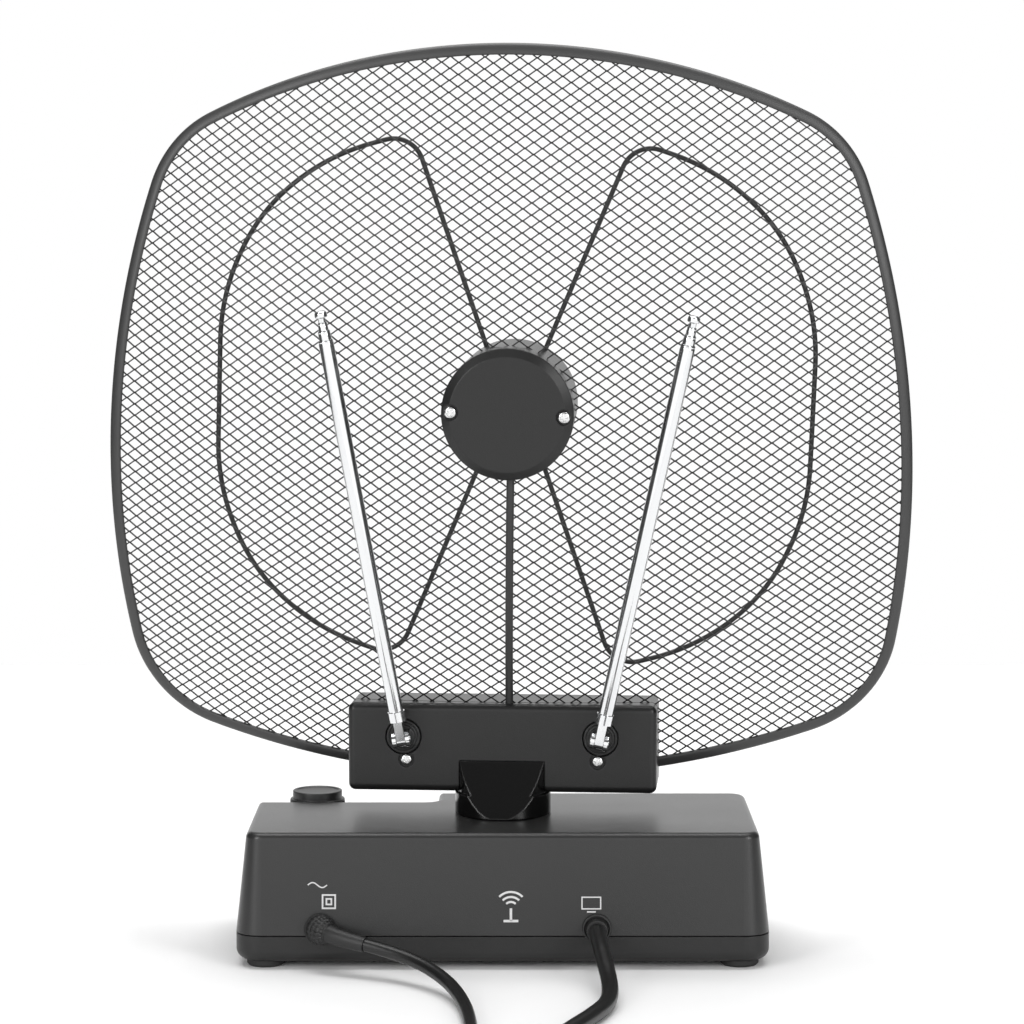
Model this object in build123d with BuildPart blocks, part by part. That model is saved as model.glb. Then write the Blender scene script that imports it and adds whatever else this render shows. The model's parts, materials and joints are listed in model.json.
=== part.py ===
from build123d import *
from math import pi, radians, tan
import os

# Indoor TV antenna: a mains-powered base, a swivelling head with a dished mesh reflector,
# two UHF loops and two telescopic rods. Millimetres, +Z up, origin on the table under the swivel.

# base
base_width, base_depth = 195.6, 92
foot_height, parting_z, base_top = 2.5, 12.2, 49.6
base_corner, base_draft, wall = 10, 6.2, 2.5
seam = 0.4
shelf_z, shelf_back, shelf_right = 41.6, 23, -25
knob_x, knob_y = -72, 34
knob_radius, knob_flange_radius, knob_step_z, knob_top = 9.5, 10.6, 49, 52.2
boss_x, boss_y, boss_joint_z, screw_seat_z = 78, 24, 24, 7.5
foot_x, foot_y, foot_radius = 174, 72, 7
boot_neck_radius, gland_neck_radius = 3.6, 5.0

# swivel and head
head_yaw = 4.5
neck_radius, neck_foot_radius, neck_top, neck_front = 17, 18, 78, 4
spigot_radius, spigot_end_z, running = 12, 41.1, 0.06

# bracket, in the head's own frame: x across, y towards the front, z up
bracket_width, bracket_back, bracket_front = 116, -6, 24
bracket_bottom, bracket_top, bracket_wall = 58.3, 91.5, 2
rod_pivot_x, rod_pivot_y, rod_pivot_z = 37, -13, 79
cover_screw_x, cover_screw_z = 36, 70.3

# dish
dish_centre_x, dish_vertex_y, dish_centre_z, dish_lean = 1, -23.5, 197, 4.2
bowl_radius, mesh_thickness, rim_width, rim_thickness = 369, 0.6, 4.3, 2.6
corner_radius = 44
outline_discs = [(0, -116.9, 255.3), (0, 265.7, 404.1), (-214.2, -25.4, 365.8), (214.2, -25.4, 365.8)]

# hub
hub_x, hub_z, hub_roll = 3.2, 5.5, 2.3
rear_cap_radius, rear_face_radius, rear_cap_back = 24.2, 21.2, -10
front_radius, front_end = 23.5, 32
hub_screw_x = 20.7
loop_depth, loop_wire = 24, 0.9
loop_ends, loop_pad, balun_board_front = (6.4, 8.7), (6.4, 9.5), 27.5
loop_corners = [(40.8, 98.8), (71.8, 89.5), (97.3, 67.4), (111, 35.5)]
loop_radii = [11, 80, 70, 80]
vhf_board_front = 19
mast_radius, mast_bore, mast_gap, mast_top_z, mast_foot_z = 1.45, 0.95, 0.35, -12, -109

# telescopic rods: outer radius, bore radius, first and last station from the fold pin
rod_sections = [(2.8, 2.41, 11, 152.5), (2.32, 1.91, 14, 156), (1.82, 1.46, 17, 159), (1.37, 0, 20, 161)]
rod_tip_radius, rod_tip_from, rod_tip_to = 2.3, 160.7, 163.2
rod_lean, rod_spread = 5.2, {"left": -9.8, "right": 12.4}
swivel_radius, swivel_recess, swivel_shaft_radius = 6.5, 2.6, 2
ear_out, ear_radius, slot_radius, fold_pin_radius = 3.2, 3, 3.3, 1
tongue_half, tongue_radius, ferrule_from, ferrule_radius = 1.6, 2.6, 7.2, 3.2

# leads: each route starts where it leaves its strain relief and ends in its coil
mains_diameter, coax_diameter = 4.8, 6
mains_exit, coax_exit = (-67, -46, 15.5), (34.3, -46, 15.4)
boot_aim, boot_length, boot_radius, coax_gland_length = Vector(0.8, -0.57, -0.15).normalized(), 22, 5.6, 5
mains_route = [tuple(Vector(*mains_exit) + boot_aim * boot_length), (-38, -64.5, 10.4), (-27.5, -73, 8),
               (-19.5, -85, 5.4), (-14.5, -100, 3.4), (-11.6, -119, 2.4), (-10.2, -144, 2.4),
               (-10.6, -173, 2.4), (-10.4, -203, 2.4)]
mains_tail = [(-50, -236.4, 7.2), (-64, -237.4, 6.2), (-78.5, -237.2, 6), (-92, -236, 7)]
coax_route = [(34.3, -51.4, 15.4), (34.8, -62, 13.8), (36.4, -75, 9.6), (38, -90, 5), (37, -107, 3),
              (31, -125, 3), (22.5, -145, 3), (14, -167, 3), (10, -191, 3), (9, -215, 3)]
coax_tail = [(54, -253.7, 9), (68, -255, 7.2), (82, -254.8, 5.4), (94, -253.2, 4.8), (104.2, -252, 5.5)]
mains_coil_at, mains_coil_mean, mains_lanes = (-44, -203), 26.4, 4
coax_coil_at, coax_coil_mean, coax_lanes = (48, -215), 33, 3
plug_at, plug_length, plug_width, pin_radius, pin_length, pin_gap = (-92, -236, 7), 39, 35, 2, 19, 18.6
sleeve_at, sleeve_length, barrel_length, barrel_radius = (104, -252, 5.5), 10, 22, 5.5

parts = {}


def keep(piece, name):
    """Label a finished piece and put it on the list to be written."""
    piece.part.label = name
    parts[name] = piece.part


head = Location((0, 0, 0), (0, 0, -head_yaw))
dish = head * Location((dish_centre_x, dish_vertex_y, dish_centre_z), (dish_lean, 0, 0))
hub = dish * Location((hub_x, 0, hub_z), (0, hub_roll, 0))
mast_frame = dish * Location((hub_x + 1, 0, 0), (0, 1.4, 0))


def facing_back(frame, y):
    """Plane square to the frame's y axis at y, looking backwards: x across, its y up."""
    return Plane(frame * Plane.XZ.offset(-y).location)


def flat(frame, z):
    """Plane square to the frame's z axis at height z."""
    return Plane(frame * Plane.XY.offset(z).location)


def side_on(frame, x):
    """Plane square to the frame's x axis at x: y across, z up."""
    return Plane(frame * Plane.YZ.offset(x).location)


bowl_centre = dish * Location((0, bowl_radius, 0))
mesh_front = bowl_centre * Sphere(bowl_radius)
mesh_back = bowl_centre * Sphere(bowl_radius + mesh_thickness)
clear_front = bowl_centre * Sphere(bowl_radius - 0.05)
clear_back = bowl_centre * Sphere(bowl_radius + mesh_thickness + 0.05)
groove_front = bowl_centre * Sphere(bowl_radius - 0.1)
groove_back = bowl_centre * Sphere(bowl_radius + mesh_thickness + 0.1)
rim_front = bowl_centre * Sphere(bowl_radius - 1)
rim_back = bowl_centre * Sphere(bowl_radius - 1 + rim_thickness)
rim_groove_front = bowl_centre * Sphere(bowl_radius - 1.1)
rim_groove_back = bowl_centre * Sphere(bowl_radius - 0.9 + rim_thickness)


# base shells
def drafted_block(z, height, inset):
    """The base's drafted upper block, inset all round."""
    with BuildPart(mode=Mode.PRIVATE) as block:
        with BuildSketch(Plane.XY.offset(z)):
            RectangleRounded(base_width - 2 * inset, base_depth - 2 * inset, base_corner - inset)
        extrude(amount=height, taper=base_draft)
    return block.part


def shelf_space(floor, grow):
    """The open corner above the knob's shelf, grown by the wall where the cavity must stay clear of it."""
    with BuildPart(mode=Mode.PRIVATE) as space:
        with BuildSketch(Plane.XY.offset(floor)):
            with Locations((shelf_right + grow - 60, shelf_back - grow + 40)):
                RectangleRounded(120, 80, 6 + grow)
        extrude(amount=40)
    return space.part


def lead_holes():
    """Round holes at the seam for the two leads, cut through the rear wall."""
    with BuildPart(mode=Mode.PRIVATE) as holes:
        with BuildSketch(Plane.XZ.offset(35)):
            with Locations((mains_exit[0], mains_exit[2])):
                Circle(boot_neck_radius)
            with Locations((coax_exit[0], coax_exit[2])):
                Circle(gland_neck_radius)
        extrude(amount=30)
    return holes.part


with BuildPart() as base_upper_shell:
    add(drafted_block(parting_z + seam, base_top - parting_z - seam, 0))
    add(shelf_space(shelf_z, 0), mode=Mode.SUBTRACT)
    fillet(base_upper_shell.faces().sort_by(Axis.Z)[-1].outer_wire().edges(), 2.4)
    add(drafted_block(parting_z, base_top - parting_z - wall, wall) - shelf_space(shelf_z - wall, wall),
        mode=Mode.SUBTRACT)
    with BuildSketch(Plane.XY.offset(base_top - 8)):
        Circle(spigot_radius + 4)
    extrude(amount=7)
    with BuildSketch(Plane.XY.offset(boss_joint_z)):
        with Locations((-boss_x, boss_y)):
            Circle(4)
    extrude(amount=shelf_z - boss_joint_z - 1)
    with BuildSketch(Plane.XY.offset(boss_joint_z)):
        with Locations((boss_x, boss_y), (boss_x, -boss_y), (-boss_x, -boss_y)):
            Circle(4)
    extrude(amount=base_top - boss_joint_z - 1)
    with BuildSketch(Plane.XY.offset(boss_joint_z)):
        with GridLocations(2 * boss_x, 2 * boss_y, 2, 2):
            Circle(1.55)
    extrude(amount=14, mode=Mode.SUBTRACT)
    with BuildSketch(Plane.XY.offset(base_top)):
        Circle(spigot_radius + running)
    extrude(amount=-20, mode=Mode.SUBTRACT)
    with BuildSketch(Plane.XY.offset(shelf_z)):
        with Locations((knob_x, knob_y)):
            Circle(4)
    extrude(amount=-5, mode=Mode.SUBTRACT)
    add(lead_holes(), mode=Mode.SUBTRACT)
keep(base_upper_shell, "base_upper_shell")

with BuildPart() as base_lower_shell:
    with BuildSketch(Plane.XY.offset(foot_height)):
        RectangleRounded(base_width, base_depth, base_corner)
    extrude(amount=parting_z - foot_height)
    fillet(base_lower_shell.faces().sort_by(Axis.Z)[0].edges(), 4)
    with BuildSketch(Plane.XY.offset(foot_height + wall)):
        RectangleRounded(base_width - 2 * wall, base_depth - 2 * wall, base_corner - wall)
    extrude(amount=20, mode=Mode.SUBTRACT)
    with BuildSketch(Plane.XY.offset(foot_height + 1)):
        with GridLocations(2 * boss_x, 2 * boss_y, 2, 2):
            Circle(5)
    extrude(amount=boss_joint_z - 0.2 - foot_height - 1)
    with BuildSketch(Plane.XY):
        with GridLocations(2 * boss_x, 2 * boss_y, 2, 2):
            Circle(1.6)
    extrude(amount=30, mode=Mode.SUBTRACT)
    with BuildSketch(Plane.XY):
        with GridLocations(2 * boss_x, 2 * boss_y, 2, 2):
            Circle(3.4)
    extrude(amount=screw_seat_z, mode=Mode.SUBTRACT)
    with BuildSketch(Plane.XY):
        with GridLocations(foot_x, foot_y, 2, 2):
            Circle(foot_radius + 0.05)
    extrude(amount=foot_height + 0.6, mode=Mode.SUBTRACT)
    add(lead_holes(), mode=Mode.SUBTRACT)
keep(base_lower_shell, "base_lower_shell")

with BuildPart() as base_feet:
    with BuildSketch():
        with GridLocations(foot_x, foot_y, 2, 2):
            Circle(foot_radius)
    extrude(amount=foot_height + 0.5)
    chamfer(base_feet.faces().filter_by_position(Axis.Z, -0.1, 0.1).edges(), 0.8)
keep(base_feet, "base_feet")

with BuildPart() as base_screws:
    with BuildSketch(Plane.XY.offset(screw_seat_z)):
        with GridLocations(2 * boss_x, 2 * boss_y, 2, 2):
            Circle(2.9)
    extrude(amount=-2)
    with BuildSketch(Plane.XY.offset(screw_seat_z)):
        with GridLocations(2 * boss_x, 2 * boss_y, 2, 2):
            Circle(1.5)
    extrude(amount=boss_joint_z - screw_seat_z + 10)
keep(base_screws, "base_screws")

# inside the base
inner_floor = foot_height + wall
with BuildPart() as ballast_plate:
    with BuildSketch(Plane.XY.offset(inner_floor + 0.1)):
        RectangleRounded(138, 74, 4)
    extrude(amount=3)
keep(ballast_plate, "ballast_plate")

board_z = inner_floor + 6
with BuildPart() as main_circuit_board:
    with BuildSketch(Plane.XY.offset(board_z)):
        with Locations((-8, 2)):
            Rectangle(118, 60)
    extrude(amount=1.6)
    with BuildSketch(Plane.XY.offset(board_z)):
        with Locations((-8, 2)):
            with GridLocations(104, 48, 2, 2):
                Circle(2.5)
    extrude(amount=-(board_z - inner_floor - 3.2))
keep(main_circuit_board, "main_circuit_board")

board_top = board_z + 1.6
transformer_at = (-42, -8)
with BuildPart() as transformer_core:
    with BuildSketch(Plane.XY.offset(board_top + 0.1)):
        with Locations(transformer_at):
            Rectangle(34, 14)
    extrude(amount=28)
    with BuildSketch(Plane.XY.offset(board_top + 6)):
        with Locations(transformer_at):
            with GridLocations(17, 0, 2, 1):
                Rectangle(6.2, 14)
    extrude(amount=16, mode=Mode.SUBTRACT)
keep(transformer_core, "transformer_core")

with BuildPart() as transformer_winding:
    with BuildSketch(Plane.XY.offset(board_top + 6.1)):
        with Locations(transformer_at):
            RectangleRounded(22.6, 25, 3)
            Rectangle(10.9, 14.1, mode=Mode.SUBTRACT)
    extrude(amount=15.8)
keep(transformer_winding, "transformer_winding")

with BuildPart() as rf_shield_can:
    with BuildSketch(Plane.XY.offset(board_top + 0.1)):
        with Locations((30, -6)):
            Rectangle(34, 38)
    extrude(amount=11)
    with BuildSketch(Plane.XY.offset(board_top + 0.1)):
        with Locations((30, -6)):
            Rectangle(33, 37)
    extrude(amount=10.5, mode=Mode.SUBTRACT)
keep(rf_shield_can, "rf_shield_can")

with BuildPart() as filter_capacitors:
    with BuildSketch(Plane.XY.offset(board_top + 0.1)):
        with Locations((-10, -18), (2, -18)):
            Circle(4)
    extrude(amount=15)
    with BuildSketch(Plane.XY.offset(board_top + 0.1)):
        with Locations((-10, 20), (0, 20), (10, 20)):
            Circle(2.5)
    extrude(amount=9)
keep(filter_capacitors, "filter_capacitors")

with BuildPart() as gain_potentiometer:
    with BuildSketch(Plane.XY.offset(shelf_z - wall - 9)):
        with Locations((knob_x + 7, knob_y + 0.3)):
            Rectangle(22, 12)
    extrude(amount=8.9)
    with BuildSketch(Plane.XY.offset(shelf_z - wall - 0.1)):
        with Locations((knob_x, knob_y)):
            Circle(3.8)
    extrude(amount=wall - 0.4)
    with BuildSketch(Plane.XY.offset(shelf_z - wall - 7)):
        with Locations((knob_x, knob_y)):
            Circle(3 + running)
    extrude(amount=20, mode=Mode.SUBTRACT)
keep(gain_potentiometer, "gain_potentiometer")

with BuildPart() as gain_shaft:
    with BuildSketch(Plane.XY.offset(shelf_z - wall - 6.5)):
        with Locations((knob_x, knob_y)):
            Circle(3)
    extrude(amount=knob_top - 2 - (shelf_z - wall - 6.5))
keep(gain_shaft, "gain_shaft")

with BuildPart() as gain_knob:
    with BuildSketch(Plane.XY.offset(shelf_z + 0.4)):
        with Locations((knob_x, knob_y)):
            Circle(knob_flange_radius)
    extrude(amount=knob_step_z - shelf_z - 0.4)
    with BuildSketch(Plane.XY.offset(knob_step_z)):
        with Locations((knob_x, knob_y)):
            Circle(knob_radius)
    extrude(amount=knob_top - knob_step_z)
    fillet(gain_knob.faces().sort_by(Axis.Z)[-1].edges(), 0.8)
    with BuildSketch(Plane.XY.offset(shelf_z)):
        with Locations((knob_x, knob_y)):
            Circle(3.02)
    extrude(amount=knob_top - 2 + 0.05 - shelf_z, mode=Mode.SUBTRACT)
keep(gain_knob, "gain_knob")

# neck and swivel
facet_low, facet_high, wall_front = (-18, base_top), (bracket_back - 0.1, 70), bracket_back + bracket_wall
with BuildPart() as neck:
    with BuildSketch(Plane.XY.offset(base_top + 0.4)):
        Circle(neck_foot_radius)
    extrude(amount=bracket_bottom - 0.2 - base_top - 0.4)
    with BuildSketch(flat(head, bracket_bottom - 0.2)):
        Circle(neck_radius)
        with Locations((0, neck_front + 20)):
            Rectangle(80, 40, mode=Mode.SUBTRACT)
    extrude(amount=neck_top - bracket_bottom + 0.2)
    with BuildSketch(side_on(head, -30)):
        Polygon(facet_low, facet_high, (wall_front + 0.1, facet_high[1]), (wall_front + 0.1, 95), (-40, 95),
                (-40, base_top), align=None)
    extrude(amount=60, mode=Mode.SUBTRACT)
    with BuildSketch(Plane.XY.offset(base_top + 0.4)):
        Circle(spigot_radius)
    extrude(amount=-(base_top + 0.4 - spigot_end_z))
    with BuildSketch(Plane.XY.offset(spigot_end_z)):
        Circle(1.9)
    extrude(amount=16, mode=Mode.SUBTRACT)
keep(neck, "neck")

with BuildPart() as swivel_washer:
    with BuildSketch(Plane.XY.offset(spigot_end_z)):
        Circle(15.5)
        Circle(2.1, mode=Mode.SUBTRACT)
    extrude(amount=-1.5)
keep(swivel_washer, "swivel_washer")

with BuildPart() as swivel_screw:
    with BuildSketch(Plane.XY.offset(spigot_end_z - 1.5)):
        Circle(4)
    extrude(amount=-2.4)
    with BuildSketch(Plane.XY.offset(spigot_end_z - 1.5)):
        Circle(1.85)
    extrude(amount=14)
keep(swivel_screw, "swivel_screw")


# bracket halves, with the mesh clamped on the slanting joint between them
def bracket_block():
    """The bracket's rounded outer block."""
    with BuildPart(mode=Mode.PRIVATE) as block:
        with BuildSketch(flat(head, bracket_bottom)):
            with Locations((0, (bracket_back + bracket_front) / 2)):
                Rectangle(bracket_width, bracket_front - bracket_back)
        extrude(amount=bracket_top - bracket_bottom)
        fillet(block.edges(), 2.6)
    return block.part


def bracket_cavity():
    """The space inside the bracket's walls."""
    with BuildPart(mode=Mode.PRIVATE) as space:
        with BuildSketch(flat(head, bracket_bottom + bracket_wall)):
            with Locations((0, (bracket_back + bracket_front) / 2)):
                Rectangle(bracket_width - 2 * bracket_wall, bracket_front - bracket_back - 2 * bracket_wall)
        extrude(amount=bracket_top - bracket_bottom - 2 * bracket_wall)
    return space.part


def neck_socket():
    """Room for the neck's upper part, open at the bottom."""
    with BuildPart(mode=Mode.PRIVATE) as room:
        with BuildSketch(flat(head, bracket_bottom - 5)):
            Circle(neck_radius + 0.08)
            with Locations((0, neck_front + 0.1 + 20)):
                Rectangle(80, 40, mode=Mode.SUBTRACT)
        extrude(amount=neck_top + 0.1 - bracket_bottom + 5)
        with BuildSketch(side_on(head, -30)):
            Polygon((-40, facet_high[1] + 0.1), (wall_front, facet_high[1] + 0.1), (wall_front, 95),
                    (-40, 95), align=None)
        extrude(amount=60, mode=Mode.SUBTRACT)
    return room.part


def mast_bar(radius):
    """A bar along the mast's line, an arc just behind the mesh from bracket to hub."""
    path_radius = bowl_radius + mesh_thickness + mast_gap + mast_radius
    from_deg = -mast_top_z / path_radius * 57.2958
    to_deg = -mast_foot_z / path_radius * 57.2958
    with BuildPart(mode=Mode.PRIVATE) as bar:
        with BuildLine(side_on(mast_frame, 0)) as line:
            CenterArc((bowl_radius, 0), path_radius, 180 + from_deg, to_deg - from_deg)
        with BuildSketch(Plane(line.line @ 0, z_dir=line.line % 0)):
            Circle(radius)
        sweep()
    return bar.part


def rim_band(outset, front_ball, back_ball):
    """The band along the outline between two balls about the bowl's centre, grown by outset."""
    with BuildPart(mode=Mode.PRIVATE) as band:
        with BuildSketch(facing_back(dish, -20)):
            add(dish_outline(outset))
            add(dish_outline(-rim_width - outset), mode=Mode.SUBTRACT)
        extrude(amount=-90)
        add(back_ball, mode=Mode.INTERSECT, clean=False)
        add(front_ball, mode=Mode.SUBTRACT, clean=False)
    return band.part


def dish_outline(outset):
    """The dish's outline, grown by outset: where four big discs overlap, its corners rounded."""
    with BuildSketch(mode=Mode.PRIVATE) as outline:
        for number, (x, z, radius) in enumerate(outline_discs):
            with Locations((x, z)):
                Circle(radius + outset, mode=Mode.INTERSECT if number else Mode.ADD)
        fillet(outline.vertices(), corner_radius + outset)
    return outline.sketch


def mesh_sheet(reach, front_ball, back_ball):
    """The dished sheet between two balls, reaching this far into the rim band."""
    with BuildPart(mode=Mode.PRIVATE) as sheet:
        with BuildSketch(facing_back(dish, -20)):
            add(dish_outline(reach - rim_width))
        extrude(amount=-90)
        add(back_ball, mode=Mode.INTERSECT, clean=False)
        add(front_ball, mode=Mode.SUBTRACT, clean=False)
    return sheet.part


with BuildPart() as reflector_mesh:
    add(mesh_sheet(2, mesh_front, mesh_back))
    with BuildSketch(facing_back(hub, -20)):
        Circle(6)
        with Locations((-hub_screw_x, 0), (hub_screw_x, 0)):
            Circle(1.7)
    extrude(amount=-40, mode=Mode.SUBTRACT)
    with BuildSketch(facing_back(head, -20)):
        with Locations((-cover_screw_x, cover_screw_z), (cover_screw_x, cover_screw_z)):
            Circle(1.7)
    extrude(amount=-60, mode=Mode.SUBTRACT)
keep(reflector_mesh, "reflector_mesh")

with BuildPart() as reflector_rim:
    add(rim_band(0, rim_front, rim_back))
    add(mesh_sheet(2.3, groove_front, groove_back), mode=Mode.SUBTRACT)
keep(reflector_rim, "reflector_rim")


with BuildPart() as bracket_rear_cover:
    add(bracket_block() - bracket_cavity())
    with BuildSketch(facing_back(head, bracket_back)):
        with Locations((-rod_pivot_x, rod_pivot_z), (rod_pivot_x, rod_pivot_z)):
            Circle(8.8)
    extrude(amount=-8.5)
    with BuildSketch(facing_back(head, bracket_back + 1)):
        with Locations((-cover_screw_x, cover_screw_z), (cover_screw_x, cover_screw_z)):
            Circle(3.6)
    extrude(amount=-25)
    add(clear_back, mode=Mode.SUBTRACT, clean=False)
    with BuildSketch(facing_back(head, bracket_back - 1)):
        with Locations((-rod_pivot_x, rod_pivot_z), (rod_pivot_x, rod_pivot_z)):
            Circle(swivel_radius + 0.3)
    extrude(amount=-1 - swivel_recess, mode=Mode.SUBTRACT)
    with BuildSketch(facing_back(head, bracket_back - 1)):
        with Locations((-rod_pivot_x, rod_pivot_z), (rod_pivot_x, rod_pivot_z)):
            Circle(swivel_shaft_radius + running)
    extrude(amount=-20, mode=Mode.SUBTRACT)
    with BuildSketch(facing_back(head, bracket_back - 1)):
        with Locations((-cover_screw_x, cover_screw_z), (cover_screw_x, cover_screw_z)):
            Circle(2.9)
    extrude(amount=-2, mode=Mode.SUBTRACT)
    with BuildSketch(facing_back(head, bracket_back - 1)):
        with Locations((-cover_screw_x, cover_screw_z), (cover_screw_x, cover_screw_z)):
            Circle(1.6)
    extrude(amount=-25, mode=Mode.SUBTRACT)
    add(neck_socket(), mode=Mode.SUBTRACT)
    add(rim_band(0.1, rim_groove_front, rim_groove_back), mode=Mode.SUBTRACT)
    add(mast_bar(mast_radius + 0.15), mode=Mode.SUBTRACT)
keep(bracket_rear_cover, "bracket_rear_cover")

with BuildPart() as bracket_front_housing:
    add(bracket_block() - bracket_cavity())
    with BuildSketch(facing_back(head, bracket_front - 1)):
        with Locations((-cover_screw_x, cover_screw_z), (cover_screw_x, cover_screw_z)):
            Circle(3.6)
    extrude(amount=25)
    with BuildSketch(facing_back(head, bracket_front - 1)):
        with Locations((-rod_pivot_x, rod_pivot_z), (0, rod_pivot_z + 2), (rod_pivot_x, rod_pivot_z)):
            Circle(3)
    extrude(amount=bracket_front - 1 - vhf_board_front)
    add(clear_front, mode=Mode.INTERSECT, clean=False)
    with BuildSketch(facing_back(head, 0)):
        with Locations((-cover_screw_x, cover_screw_z), (cover_screw_x, cover_screw_z)):
            Circle(1.35)
    extrude(amount=-18, mode=Mode.SUBTRACT)
    add(neck_socket(), mode=Mode.SUBTRACT)
    add(rim_band(0.1, rim_groove_front, rim_groove_back), mode=Mode.SUBTRACT)
keep(bracket_front_housing, "bracket_front_housing")

with BuildPart() as bracket_screws:
    with BuildSketch(facing_back(head, bracket_back + 1)):
        with Locations((-cover_screw_x, cover_screw_z), (cover_screw_x, cover_screw_z)):
            Circle(2.2)
    extrude(amount=1.6)
    with BuildSketch(facing_back(head, bracket_back + 1)):
        with Locations((-cover_screw_x, cover_screw_z), (cover_screw_x, cover_screw_z)):
            Circle(1.3)
    extrude(amount=-22)
keep(bracket_screws, "bracket_screws")

with BuildPart() as vhf_combiner_board:
    with BuildSketch(facing_back(head, vhf_board_front - 0.1)):
        with Locations((0, 79.5)):
            Rectangle(96, 17)
        with Locations((-cover_screw_x, cover_screw_z), (cover_screw_x, cover_screw_z)):
            Circle(4.2, mode=Mode.SUBTRACT)
    extrude(amount=1.6)
keep(vhf_combiner_board, "vhf_combiner_board")

with BuildPart() as combiner_coils:
    with BuildSketch(facing_back(head, vhf_board_front - 1.8)):
        with Locations((-22, 80), (-10, 80), (12, 80), (24, 80)):
            Circle(2.6)
            Circle(1.6, mode=Mode.SUBTRACT)
    extrude(amount=1.5)
keep(combiner_coils, "combiner_coils")

# mast
with BuildPart() as mast_tube:
    add(mast_bar(mast_radius) - mast_bar(mast_bore))
keep(mast_tube, "mast_tube")

# hub halves
with BuildPart() as hub_rear_cap:
    with BuildSketch(facing_back(hub, 2)):
        Circle(rear_cap_radius)
    extrude(amount=2 - rear_cap_back)
    chamfer(hub_rear_cap.faces().filter_by(GeomType.PLANE).sort_by(Axis.Y)[0].edges(),
            length=2, length2=rear_cap_radius - rear_face_radius)
    with BuildSketch(facing_back(hub, 3)):
        Circle(rear_cap_radius - 2.2)
        with Locations((-hub_screw_x, 0), (hub_screw_x, 0)):
            Circle(3.4, mode=Mode.SUBTRACT)
    extrude(amount=3 - (rear_cap_back + 2), mode=Mode.SUBTRACT)
    with BuildSketch(facing_back(hub, rear_cap_back - 1)):
        with Locations((-hub_screw_x, 0), (hub_screw_x, 0)):
            Circle(2.9)
    extrude(amount=-2.4, mode=Mode.SUBTRACT)
    with BuildSketch(facing_back(hub, rear_cap_back - 1)):
        with Locations((-hub_screw_x, 0), (hub_screw_x, 0)):
            Circle(1.45)
    extrude(amount=-20, mode=Mode.SUBTRACT)
    add(clear_back, mode=Mode.SUBTRACT, clean=False)
    add(mast_bar(mast_radius + 0.15), mode=Mode.SUBTRACT)
keep(hub_rear_cap, "hub_rear_cap")


def loop_path(side):
    """One loop's centre line in the hub's plane: out of the hub, round and back; side is -1 or 1."""
    half = [(loop_ends[0], loop_ends[1]), *loop_corners]
    below = [(x, -z) for x, z in reversed(half)]
    with BuildLine(facing_back(hub, loop_depth), mode=Mode.PRIVATE) as path:
        FilletPolyline([(side * x, z) for x, z in half + below], radius=loop_radii + loop_radii[::-1])
    return path.line


def loop_rod(side, radius):
    """A round bar along one loop."""
    path = loop_path(side)
    with BuildPart(mode=Mode.PRIVATE) as bar:
        with BuildSketch(Plane(path @ 0, z_dir=path % 0)):
            Circle(radius)
        sweep(path=path)
    return bar.part


with BuildPart() as hub_front_housing:
    with BuildSketch(facing_back(hub, -3)):
        Circle(front_radius)
    extrude(amount=-(front_end + 3))
    fillet(hub_front_housing.faces().filter_by(GeomType.PLANE).sort_by(Axis.Y)[-1].edges(), 3)
    with BuildSketch(facing_back(hub, -4)):
        Circle(front_radius - 2)
        with Locations((-hub_screw_x, 0), (hub_screw_x, 0)):
            Circle(3, mode=Mode.SUBTRACT)
    extrude(amount=-(front_end + 2), mode=Mode.SUBTRACT)
    with BuildSketch(facing_back(hub, front_end - 1)):
        with Locations((0, 9), (0, -9)):
            Circle(2.5)
    extrude(amount=front_end - 1 - balun_board_front)
    with BuildSketch(facing_back(hub, -4)):
        with Locations((-hub_screw_x, 0), (hub_screw_x, 0)):
            Circle(1.3)
    extrude(amount=-16, mode=Mode.SUBTRACT)
    add(clear_front, mode=Mode.INTERSECT, clean=False)
    add(loop_rod(-1, loop_wire + 0.1), mode=Mode.SUBTRACT)
    add(loop_rod(1, loop_wire + 0.1), mode=Mode.SUBTRACT)
keep(hub_front_housing, "hub_front_housing")

for side, name in ((-1, "uhf_loop_left"), (1, "uhf_loop_right")):
    with BuildPart() as uhf_loop:
        add(loop_rod(side, loop_wire))
    keep(uhf_loop, name)

with BuildPart() as loop_terminals:
    with BuildSketch(facing_back(hub, balun_board_front - 2.2)):
        with Locations(*[(x * loop_pad[0], z * loop_pad[1]) for x in (-1, 1) for z in (-1, 1)]):
            Rectangle(4, 5)
    extrude(amount=-0.5)
keep(loop_terminals, "loop_terminals")

with BuildPart() as balun_board:
    with BuildSketch(facing_back(hub, balun_board_front - 0.1)):
        Circle(17)
    extrude(amount=1.6)
keep(balun_board, "balun_board")

with BuildPart() as hub_screws:
    with BuildSketch(facing_back(hub, rear_cap_back + 1.4)):
        with Locations((-hub_screw_x, 0), (hub_screw_x, 0)):
            Circle(2.3)
    extrude(amount=1.6)
    with BuildSketch(facing_back(hub, rear_cap_back + 1.4)):
        with Locations((-hub_screw_x, 0), (hub_screw_x, 0)):
            Circle(1.25)
    extrude(amount=-18)
keep(hub_screws, "hub_screws")

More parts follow.
